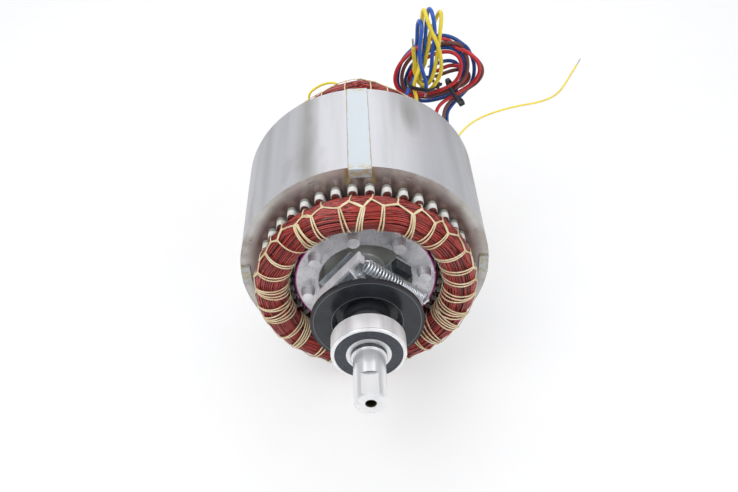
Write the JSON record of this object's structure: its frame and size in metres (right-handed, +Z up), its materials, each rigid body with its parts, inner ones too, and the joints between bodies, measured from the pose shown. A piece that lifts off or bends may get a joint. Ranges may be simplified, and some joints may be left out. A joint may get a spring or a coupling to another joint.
{
  "type": "electric motor",
  "caption": "open-frame induction motor with wound stator, rotor, ball bearings, drive shaft, centrifugal switch governor and loose leads",
  "frame": {"origin": "on the shaft's axis, half way along the stator's laminations", "axes": "+Y along the shaft away from the drive end, +X to the right seen from the drive end, +Z up; the stack stands on the floor at z = -0.0933"},
  "size_m": [0.3764, 0.6034, 0.2313],
  "materials": {
    "lamination_steel": "satin stacked electrical steel with thin varnish",
    "zinc": "zinc plated steel",
    "paper": "white slot insulation film",
    "enamelled_wire": "glossy red enamel on copper wire",
    "lacing_cord": "flat cream polyester cord, lightly varnished",
    "yellow_insulation": "smooth insulation",
    "blue_insulation": "smooth insulation",
    "dark_blue_insulation": "smooth insulation",
    "red_insulation": "smooth insulation",
    "brown_insulation": "smooth insulation",
    "black_nylon": "moulded nylon",
    "tinned_copper": "tinned strands",
    "cast_aluminium": "as cast, lightly skimmed",
    "ground_steel": "ground bright steel",
    "black_phenolic": "moulded phenolic, satin",
    "seal_rubber": "moulded nitrile seal",
    "pressed_steel": "pressed sheet steel"
  },
  "bodies": {
    "stator": {"stator_core": "lamination_steel", "core_cleats": "zinc", "slot_liners": "paper", "slot_wedges": "paper", "slot_coils": "enamelled_wire", "front_end_winding": "enamelled_wire", "rear_end_winding": "enamelled_wire", "front_end_turns": "enamelled_wire", "rear_end_turns": "enamelled_wire", "front_lacing": "lacing_cord", "rear_lacing": "lacing_cord", "winding_jumper": "yellow_insulation", "yellow_lead_tail": "yellow_insulation", "yellow_lead_hank": "yellow_insulation", "blue_lead_tail": "blue_insulation", "blue_lead_hank": "blue_insulation", "red_lead_tail": "red_insulation", "red_lead_hank": "red_insulation", "brown_lead_tail": "brown_insulation", "brown_lead_hank": "brown_insulation", "dark_blue_lead_tail": "dark_blue_insulation", "dark_blue_lead_hank": "dark_blue_insulation", "small_hank_tie": "black_nylon", "large_hank_tie": "black_nylon", "free_yellow_lead": "yellow_insulation", "free_lead_bare_end": "tinned_copper"},
    "rotor": {"rotor_core": "lamination_steel", "rotor_cage": "cast_aluminium", "shaft": "ground_steel", "governor_base": "zinc", "governor_side_blocks": "black_phenolic", "governor_pivot_pins": "ground_steel", "upper_governor_spring": "zinc", "lower_governor_spring": "zinc", "front_bearing_inner_ring": "ground_steel", "rear_bearing_inner_ring": "ground_steel"},
    "spool": {"governor_spool": "black_phenolic"},
    "left_weight": {"left_governor_weight": "zinc"},
    "right_weight": {"right_governor_weight": "zinc"},
    "front_bearing_outer": {"front_bearing_outer_ring": "ground_steel", "front_bearing_seals": "seal_rubber"},
    "front_bearing_cage": {"front_bearing_balls": "ground_steel", "front_bearing_retainer": "pressed_steel"},
    "rear_bearing_outer": {"rear_bearing_outer_ring": "ground_steel", "rear_bearing_seals": "seal_rubber"},
    "rear_bearing_cage": {"rear_bearing_balls": "ground_steel", "rear_bearing_retainer": "pressed_steel"}
  },
  "joints": [
    {"name": "rotor_spin", "type": "hinge", "parent": "stator", "child": "rotor", "pos_m": [0, 0, 0], "axis": [0, -1, 0], "continuous": true},
    {"name": "governor_travel", "type": "slide", "parent": "rotor", "child": "spool", "axis": [0, 1, 0], "range_m": [0, 0.00325], "stiffness_N_per_m": 2500, "springref_m": -0.001, "deforming": ["upper_governor_spring", "lower_governor_spring"]},
    {"name": "left_weight_swing", "type": "hinge", "parent": "rotor", "child": "left_weight", "pos_m": [-0.01521, -0.088, 0.01299], "axis": [0.6494, 0, 0.7604], "range_deg": [0, 20]},
    {"name": "right_weight_swing", "type": "hinge", "parent": "rotor", "child": "right_weight", "pos_m": [0.01521, -0.088, -0.01299], "axis": [0.6494, 0, 0.7604], "range_deg": [-20, 0]},
    {"name": "front_bearing_spin", "type": "hinge", "parent": "rotor", "child": "front_bearing_outer", "pos_m": [0, -0.13225, 0], "axis": [0, -1, 0], "continuous": true},
    {"name": "front_cage_spin", "type": "hinge", "parent": "rotor", "child": "front_bearing_cage", "pos_m": [0, -0.13225, 0], "axis": [0, -1, 0], "continuous": true},
    {"name": "rear_bearing_spin", "type": "hinge", "parent": "rotor", "child": "rear_bearing_outer", "pos_m": [0, 0.102, 0], "axis": [0, -1, 0], "continuous": true},
    {"name": "rear_cage_spin", "type": "hinge", "parent": "rotor", "child": "rear_bearing_cage", "pos_m": [0, 0.102, 0], "axis": [0, -1, 0], "continuous": true}
  ],
  "couplings": [
    {"joint": "left_weight_swing", "follows": "governor_travel", "rad_per_m": 107.4},
    {"joint": "right_weight_swing", "follows": "governor_travel", "rad_per_m": -107.4},
    {"joint": "front_cage_spin", "follows": "front_bearing_spin", "ratio": 0.6028},
    {"joint": "rear_cage_spin", "follows": "rear_bearing_spin", "ratio": 0.6175}
  ]
}
